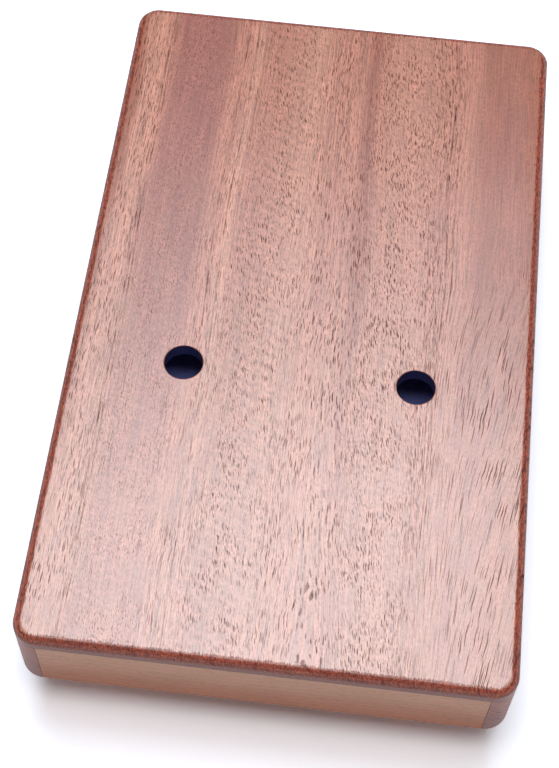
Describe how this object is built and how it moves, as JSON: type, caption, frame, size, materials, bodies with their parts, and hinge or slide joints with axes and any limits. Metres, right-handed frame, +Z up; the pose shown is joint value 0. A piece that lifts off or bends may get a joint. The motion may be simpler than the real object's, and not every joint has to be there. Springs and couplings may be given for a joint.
{
  "type": "kalimba",
  "caption": "Hollow wooden thumb piano lying on its face: lacquered back with finger holes, steel tines clamped over bridges, each tine springy and free to slide for tuning.",
  "frame": {"origin": "centre of the footprint, on the surface that the instrument lies on face down", "axes": "+Z up, out of the back; +Y along the box towards the end with the bridges; +X across the box, to the right when the back is seen with the bridge end away"},
  "size_m": [0.12, 0.2, 0.0397],
  "materials": {
    "lacquered_back": "semi-gloss",
    "face_wood": "semi-gloss",
    "side_wood": "semi-gloss",
    "end_wood": "satin",
    "inner_wood": "raw",
    "bridge_wood": "satin",
    "polished_rod": "polished",
    "tine_steel": "brushed",
    "screw_steel": "satin"
  },
  "bodies": {
    "box": {"back_plate": "lacquered_back", "face_plate": "face_wood", "side_rail_left": "side_wood", "side_rail_right": "side_wood", "end_rail_near": "end_wood", "end_rail_far": "end_wood", "screw_block": "inner_wood", "saddle_bridge": "bridge_wood", "rear_bridge": "bridge_wood", "saddle_rod": "polished_rod", "rear_rod": "polished_rod", "pressure_bar": "polished_rod", "pressure_screw_1": "screw_steel", "pressure_screw_2": "screw_steel", "pressure_screw_3": "screw_steel", "pressure_screw_4": "screw_steel"},
    "tine_01_root": {"tine_01_root": "tine_steel"},
    "tine_01": {"tine_01": "tine_steel"},
    "tine_02_root": {"tine_02_root": "tine_steel"},
    "tine_02": {"tine_02": "tine_steel"},
    "tine_03_root": {"tine_03_root": "tine_steel"},
    "tine_03": {"tine_03": "tine_steel"},
    "tine_04_root": {"tine_04_root": "tine_steel"},
    "tine_04": {"tine_04": "tine_steel"},
    "tine_05_root": {"tine_05_root": "tine_steel"},
    "tine_05": {"tine_05": "tine_steel"},
    "tine_06_root": {"tine_06_root": "tine_steel"},
    "tine_06": {"tine_06": "tine_steel"},
    "tine_07_root": {"tine_07_root": "tine_steel"},
    "tine_07": {"tine_07": "tine_steel"},
    "tine_08_root": {"tine_08_root": "tine_steel"},
    "tine_08": {"tine_08": "tine_steel"},
    "tine_09_root": {"tine_09_root": "tine_steel"},
    "tine_09": {"tine_09": "tine_steel"},
    "tine_10_root": {"tine_10_root": "tine_steel"},
    "tine_10": {"tine_10": "tine_steel"},
    "tine_11_root": {"tine_11_root": "tine_steel"},
    "tine_11": {"tine_11": "tine_steel"},
    "tine_12_root": {"tine_12_root": "tine_steel"},
    "tine_12": {"tine_12": "tine_steel"},
    "tine_13_root": {"tine_13_root": "tine_steel"},
    "tine_13": {"tine_13": "tine_steel"},
    "tine_14_root": {"tine_14_root": "tine_steel"},
    "tine_14": {"tine_14": "tine_steel"},
    "tine_15_root": {"tine_15_root": "tine_steel"},
    "tine_15": {"tine_15": "tine_steel"},
    "tine_16_root": {"tine_16_root": "tine_steel"},
    "tine_16": {"tine_16": "tine_steel"},
    "tine_17_root": {"tine_17_root": "tine_steel"},
    "tine_17": {"tine_17": "tine_steel"}
  },
  "joints": [
    {"name": "tine_01_tune", "type": "slide", "parent": "box", "child": "tine_01_root", "axis": [0, 1, 0], "range_m": [-0.003, 0.003]},
    {"name": "tine_01_pluck", "type": "hinge", "parent": "tine_01_root", "child": "tine_01", "pos_m": [-0.0496, 0.052, 0.00685], "axis": [1, 0, 0], "range_deg": [-3, 3], "stiffness_Nm_per_rad": 4.34},
    {"name": "tine_02_tune", "type": "slide", "parent": "box", "child": "tine_02_root", "axis": [0, 1, 0], "range_m": [-0.003, 0.003]},
    {"name": "tine_02_pluck", "type": "hinge", "parent": "tine_02_root", "child": "tine_02", "pos_m": [-0.0434, 0.052, 0.00685], "axis": [1, 0, 0], "range_deg": [-3, 3], "stiffness_Nm_per_rad": 3.87},
    {"name": "tine_03_tune", "type": "slide", "parent": "box", "child": "tine_03_root", "axis": [0, 1, 0], "range_m": [-0.003, 0.003]},
    {"name": "tine_03_pluck", "type": "hinge", "parent": "tine_03_root", "child": "tine_03", "pos_m": [-0.0372, 0.052, 0.00685], "axis": [1, 0, 0], "range_deg": [-3, 3], "stiffness_Nm_per_rad": 3.55},
    {"name": "tine_04_tune", "type": "slide", "parent": "box", "child": "tine_04_root", "axis": [0, 1, 0], "range_m": [-0.003, 0.003]},
    {"name": "tine_04_pluck", "type": "hinge", "parent": "tine_04_root", "child": "tine_04", "pos_m": [-0.031, 0.052, 0.00685], "axis": [1, 0, 0], "range_deg": [-3, 3], "stiffness_Nm_per_rad": 3.16},
    {"name": "tine_05_tune", "type": "slide", "parent": "box", "child": "tine_05_root", "axis": [0, 1, 0], "range_m": [-0.003, 0.003]},
    {"name": "tine_05_pluck", "type": "hinge", "parent": "tine_05_root", "child": "tine_05", "pos_m": [-0.0248, 0.052, 0.00685], "axis": [1, 0, 0], "range_deg": [-3, 3], "stiffness_Nm_per_rad": 2.9},
    {"name": "tine_06_tune", "type": "slide", "parent": "box", "child": "tine_06_root", "axis": [0, 1, 0], "range_m": [-0.003, 0.003]},
    {"name": "tine_06_pluck", "type": "hinge", "parent": "tine_06_root", "child": "tine_06", "pos_m": [-0.0186, 0.052, 0.00685], "axis": [1, 0, 0], "range_deg": [-3, 3], "stiffness_Nm_per_rad": 2.66},
    {"name": "tine_07_tune", "type": "slide", "parent": "box", "child": "tine_07_root", "axis": [0, 1, 0], "range_m": [-0.003, 0.003]},
    {"name": "tine_07_pluck", "type": "hinge", "parent": "tine_07_root", "child": "tine_07", "pos_m": [-0.0124, 0.052, 0.00685], "axis": [1, 0, 0], "range_deg": [-3, 3], "stiffness_Nm_per_rad": 2.37},
    {"name": "tine_08_tune", "type": "slide", "parent": "box", "child": "tine_08_root", "axis": [0, 1, 0], "range_m": [-0.003, 0.003]},
    {"name": "tine_08_pluck", "type": "hinge", "parent": "tine_08_root", "child": "tine_08", "pos_m": [-0.0062, 0.052, 0.00685], "axis": [1, 0, 0], "range_deg": [-3, 3], "stiffness_Nm_per_rad": 2.17},
    {"name": "tine_09_tune", "type": "slide", "parent": "box", "child": "tine_09_root", "axis": [0, 1, 0], "range_m": [-0.003, 0.003]},
    {"name": "tine_09_pluck", "type": "hinge", "parent": "tine_09_root", "child": "tine_09", "pos_m": [0, 0.052, 0.00685], "axis": [1, 0, 0], "range_deg": [-3, 3], "stiffness_Nm_per_rad": 1.93},
    {"name": "tine_10_tune", "type": "slide", "parent": "box", "child": "tine_10_root", "axis": [0, 1, 0], "range_m": [-0.003, 0.003]},
    {"name": "tine_10_pluck", "type": "hinge", "parent": "tine_10_root", "child": "tine_10", "pos_m": [0.0062, 0.052, 0.00685], "axis": [1, 0, 0], "range_deg": [-3, 3], "stiffness_Nm_per_rad": 2.05},
    {"name": "tine_11_tune", "type": "slide", "parent": "box", "child": "tine_11_root", "axis": [0, 1, 0], "range_m": [-0.003, 0.003]},
    {"name": "tine_11_pluck", "type": "hinge", "parent": "tine_11_root", "child": "tine_11", "pos_m": [0.0124, 0.052, 0.00685], "axis": [1, 0, 0], "range_deg": [-3, 3], "stiffness_Nm_per_rad": 2.23},
    {"name": "tine_12_tune", "type": "slide", "parent": "box", "child": "tine_12_root", "axis": [0, 1, 0], "range_m": [-0.003, 0.003]},
    {"name": "tine_12_pluck", "type": "hinge", "parent": "tine_12_root", "child": "tine_12", "pos_m": [0.0186, 0.052, 0.00685], "axis": [1, 0, 0], "range_deg": [-3, 3], "stiffness_Nm_per_rad": 2.51},
    {"name": "tine_13_tune", "type": "slide", "parent": "box", "child": "tine_13_root", "axis": [0, 1, 0], "range_m": [-0.003, 0.003]},
    {"name": "tine_13_pluck", "type": "hinge", "parent": "tine_13_root", "child": "tine_13", "pos_m": [0.0248, 0.052, 0.00685], "axis": [1, 0, 0], "range_deg": [-3, 3], "stiffness_Nm_per_rad": 2.73},
    {"name": "tine_14_tune", "type": "slide", "parent": "box", "child": "tine_14_root", "axis": [0, 1, 0], "range_m": [-0.003, 0.003]},
    {"name": "tine_14_pluck", "type": "hinge", "parent": "tine_14_root", "child": "tine_14", "pos_m": [0.031, 0.052, 0.00685], "axis": [1, 0, 0], "range_deg": [-3, 3], "stiffness_Nm_per_rad": 3.07},
    {"name": "tine_15_tune", "type": "slide", "parent": "box", "child": "tine_15_root", "axis": [0, 1, 0], "range_m": [-0.003, 0.003]},
    {"name": "tine_15_pluck", "type": "hinge", "parent": "tine_15_root", "child": "tine_15", "pos_m": [0.0372, 0.052, 0.00685], "axis": [1, 0, 0], "range_deg": [-3, 3], "stiffness_Nm_per_rad": 3.35},
    {"name": "tine_16_tune", "type": "slide", "parent": "box", "child": "tine_16_root", "axis": [0, 1, 0], "range_m": [-0.003, 0.003]},
    {"name": "tine_16_pluck", "type": "hinge", "parent": "tine_16_root", "child": "tine_16", "pos_m": [0.0434, 0.052, 0.00685], "axis": [1, 0, 0], "range_deg": [-3, 3], "stiffness_Nm_per_rad": 3.76},
    {"name": "tine_17_tune", "type": "slide", "parent": "box", "child": "tine_17_root", "axis": [0, 1, 0], "range_m": [-0.003, 0.003]},
    {"name": "tine_17_pluck", "type": "hinge", "parent": "tine_17_root", "child": "tine_17", "pos_m": [0.0496, 0.052, 0.00685], "axis": [1, 0, 0], "range_deg": [-3, 3], "stiffness_Nm_per_rad": 4.1}
  ]
}
